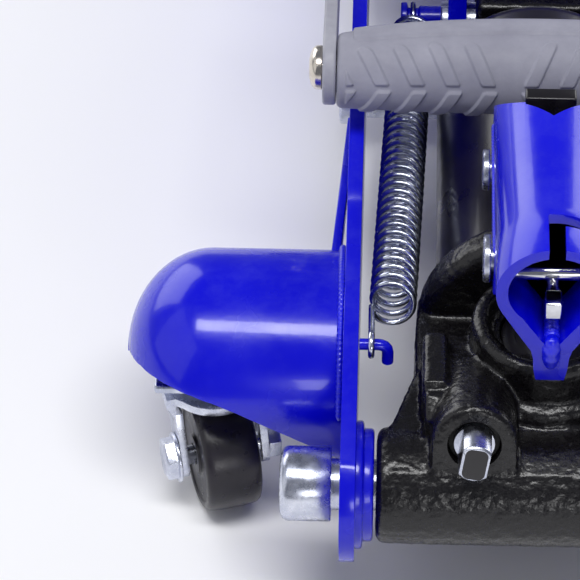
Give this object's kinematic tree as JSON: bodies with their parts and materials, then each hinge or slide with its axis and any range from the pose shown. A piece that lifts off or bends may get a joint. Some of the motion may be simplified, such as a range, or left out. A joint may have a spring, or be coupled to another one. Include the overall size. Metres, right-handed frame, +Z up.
{
  "type": "hydraulic trolley jack",
  "caption": "Low rolling floor jack: side-plate frame, hydraulic unit with handle socket, lifting arm with level saddle, carry handle, return springs, rear casters and front wheels.",
  "frame": {"origin": "centre of the jack's footprint box, on the floor", "axes": "+X to the jack's right seen from the handle end, +Y from the handle end towards the saddle, +Z up"},
  "size_m": [0.332, 0.69, 0.1768],
  "materials": {
    "paint_blue": "gloss",
    "cast_black": "rough black paint",
    "satin_black": "satin",
    "zinc_plate": "bluish zinc plate",
    "ground_steel": "ground and polished",
    "nickel": "nickel plate",
    "grey_rubber": "matt moulded",
    "grey_strap": "satin",
    "black_nylon": "satin moulded",
    "black_rubber": "matt"
  },
  "bodies": {
    "frame": {"side_plate_left": "paint_blue", "side_plate_right": "paint_blue", "fender_left": "paint_blue", "fender_right": "paint_blue", "fender_brace_left": "paint_blue", "fender_brace_right": "paint_blue", "spring_peg_left": "paint_blue", "spring_peg_right": "paint_blue", "trunnion_bolt_left": "zinc_plate", "trunnion_bolt_right": "zinc_plate", "valve_body_casting": "cast_black", "pump_cylinder": "zinc_plate", "reservoir_tube": "satin_black", "tank_front_nut": "satin_black", "filler_plug": "black_rubber", "front_axle": "zinc_plate", "wheel_retainer_left": "zinc_plate", "wheel_retainer_right": "zinc_plate", "frame_tie_bolt": "zinc_plate", "arm_pivot_shaft": "zinc_plate", "radius_pin_left": "zinc_plate", "radius_pin_right": "zinc_plate", "carry_pivot_bolt_left": "zinc_plate", "carry_pivot_bolt_right": "zinc_plate", "caster_bracket_left": "zinc_plate", "caster_bracket_right": "zinc_plate", "socket_pivot_pin": "zinc_plate", "socket_stop_plate": "satin_black", "return_spring_left": "zinc_plate", "return_spring_right": "zinc_plate"},
    "release_valve": {"release_spindle": "zinc_plate"},
    "plunger": {"pump_plunger": "ground_steel"},
    "socket": {"handle_socket": "paint_blue", "socket_roller_pin": "zinc_plate", "release_coupling": "ground_steel"},
    "roller": {"pump_roller": "ground_steel"},
    "ram": {"ram_rod": "ground_steel", "ram_clevis": "cast_black"},
    "arm": {"lift_arm": "paint_blue", "ram_pin": "zinc_plate", "carrier_pin": "zinc_plate"},
    "rod_left": {"radius_rod_left": "paint_blue"},
    "rod_right": {"radius_rod_right": "paint_blue"},
    "carrier": {"saddle_carrier": "cast_black", "radius_rod_pin": "zinc_plate"},
    "saddle": {"saddle": "satin_black", "saddle_pad": "black_rubber"},
    "carry_handle": {"carry_arm_left": "grey_strap", "carry_arm_right": "grey_strap", "carry_grip": "grey_rubber", "grip_screw_left": "nickel", "grip_screw_right": "nickel"},
    "front_wheel_left": {"front_wheel_left": "black_nylon"},
    "front_wheel_right": {"front_wheel_right": "black_nylon"},
    "caster_left": {"caster_fork_left": "zinc_plate", "caster_bolt_left": "zinc_plate"},
    "caster_wheel_left": {"caster_wheel_left": "black_nylon"},
    "caster_right": {"caster_fork_right": "zinc_plate", "caster_bolt_right": "zinc_plate"},
    "caster_wheel_right": {"caster_wheel_right": "black_nylon"}
  },
  "joints": [
    {"name": "arm_lift", "type": "hinge", "parent": "frame", "child": "arm", "pos_m": [0, -0.015, 0.125], "axis": [1, 0, 0], "range_deg": [0, 60], "deforming": ["return_spring_left", "return_spring_right"]},
    {"name": "rod_swing_left", "type": "hinge", "parent": "frame", "child": "rod_left", "pos_m": [-0.045, 0.007, 0.113], "axis": [1, 0, 0], "range_deg": [0, 60]},
    {"name": "rod_swing_right", "type": "hinge", "parent": "frame", "child": "rod_right", "pos_m": [0.045, 0.007, 0.113], "axis": [1, 0, 0], "range_deg": [0, 60]},
    {"name": "carrier_level", "type": "hinge", "parent": "arm", "child": "carrier", "pos_m": [0, 0.3, 0.088], "axis": [1, 0, 0], "range_deg": [-60, 0]},
    {"name": "saddle_turn", "type": "hinge", "parent": "carrier", "child": "saddle", "pos_m": [0, 0.3, 0.118], "axis": [0, 0, 1], "continuous": true},
    {"name": "ram_push", "type": "slide", "parent": "frame", "child": "ram", "axis": [0, 1, 0], "range_m": [0, 0.0617]},
    {"name": "handle_pump", "type": "hinge", "parent": "frame", "child": "socket", "pos_m": [0, -0.211, 0.132], "axis": [-1, 0, 0], "range_deg": [0, 45]},
    {"name": "plunger_stroke", "type": "slide", "parent": "frame", "child": "plunger", "axis": [0, 0, 1], "range_m": [0, 0.0361]},
    {"name": "roller_turn", "type": "hinge", "parent": "socket", "child": "roller", "pos_m": [0, -0.262, 0.132], "axis": [1, 0, 0], "continuous": true},
    {"name": "release_turn", "type": "hinge", "parent": "frame", "child": "release_valve", "pos_m": [-0.028, -0.3234, 0.092], "axis": [0, -0.9659, 0.2588], "range_deg": [0, 180]},
    {"name": "carry_lift", "type": "hinge", "parent": "frame", "child": "carry_handle", "pos_m": [0, -0.055, 0.125], "axis": [-1, 0, 0], "range_deg": [0, 100]},
    {"name": "caster_swivel_left", "type": "hinge", "parent": "frame", "child": "caster_left", "pos_m": [-0.133, -0.247, 0.055], "axis": [0, 0, 1], "continuous": true},
    {"name": "caster_roll_left", "type": "hinge", "parent": "caster_left", "child": "caster_wheel_left", "pos_m": [-0.12803, -0.26326, 0.0245], "axis": [0.9563, 0.2924, 0], "continuous": true},
    {"name": "front_roll_left", "type": "hinge", "parent": "frame", "child": "front_wheel_left", "pos_m": [-0.098, 0.272, 0.039], "axis": [1, 0, 0], "continuous": true},
    {"name": "caster_swivel_right", "type": "hinge", "parent": "frame", "child": "caster_right", "pos_m": [0.133, -0.247, 0.055], "axis": [0, 0, 1], "continuous": true},
    {"name": "caster_roll_right", "type": "hinge", "parent": "caster_right", "child": "caster_wheel_right", "pos_m": [0.12803, -0.26326, 0.0245], "axis": [0.9563, -0.2924, 0], "continuous": true},
    {"name": "front_roll_right", "type": "hinge", "parent": "frame", "child": "front_wheel_right", "pos_m": [0.098, 0.272, 0.039], "axis": [1, 0, 0], "continuous": true}
  ],
  "couplings": [
    {"joint": "rod_swing_left", "follows": "arm_lift", "ratio": 1},
    {"joint": "rod_swing_right", "follows": "arm_lift", "ratio": 1},
    {"joint": "carrier_level", "follows": "arm_lift", "ratio": -1},
    {"joint": "ram_push", "follows": "arm_lift", "m_per_rad": 0.05885},
    {"joint": "plunger_stroke", "follows": "handle_pump", "m_per_rad": 0.0459}
  ]
}
